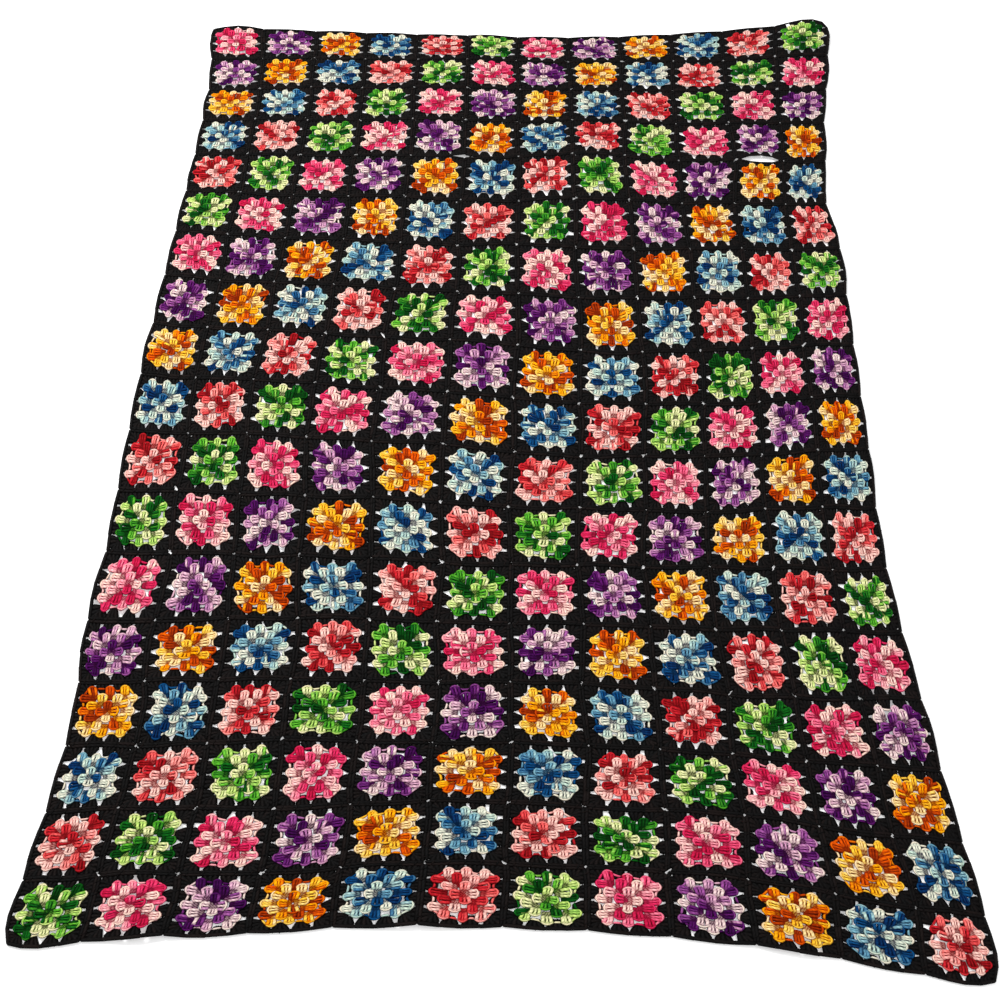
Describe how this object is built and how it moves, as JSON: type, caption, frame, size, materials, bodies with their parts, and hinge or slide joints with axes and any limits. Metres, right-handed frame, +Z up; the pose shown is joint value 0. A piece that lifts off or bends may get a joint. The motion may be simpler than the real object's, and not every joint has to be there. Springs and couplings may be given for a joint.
{
  "type": "granny square blanket",
  "caption": "Crochet blanket of variegated granny squares edged and joined in black yarn, laid out flat with an uneven outline and low ripples.",
  "frame": {"origin": "middle of the laid-out blanket's bounding box, on the surface that it lies on", "axes": "+Y towards the blanket's far end, +X to its right, +Z up out of its face"},
  "size_m": [1.459, 2.0974, 0.0168],
  "materials": {
    "black_yarn": "matte black worsted yarn",
    "pink_yarn": "variegated worsted yarn, hot pink to peach",
    "purple_yarn": "variegated worsted yarn, deep purple to cream",
    "orange_yarn": "variegated worsted yarn, maroon through orange to pale yellow",
    "blue_yarn": "variegated worsted yarn, navy to pale aqua and cream",
    "red_yarn": "variegated worsted yarn, dark red to salmon and peach",
    "green_yarn": "variegated worsted yarn, dark green to pale yellow"
  },
  "bodies": {
    "root": {"blanket": "black_yarn"}
  },
  "joints": []
}
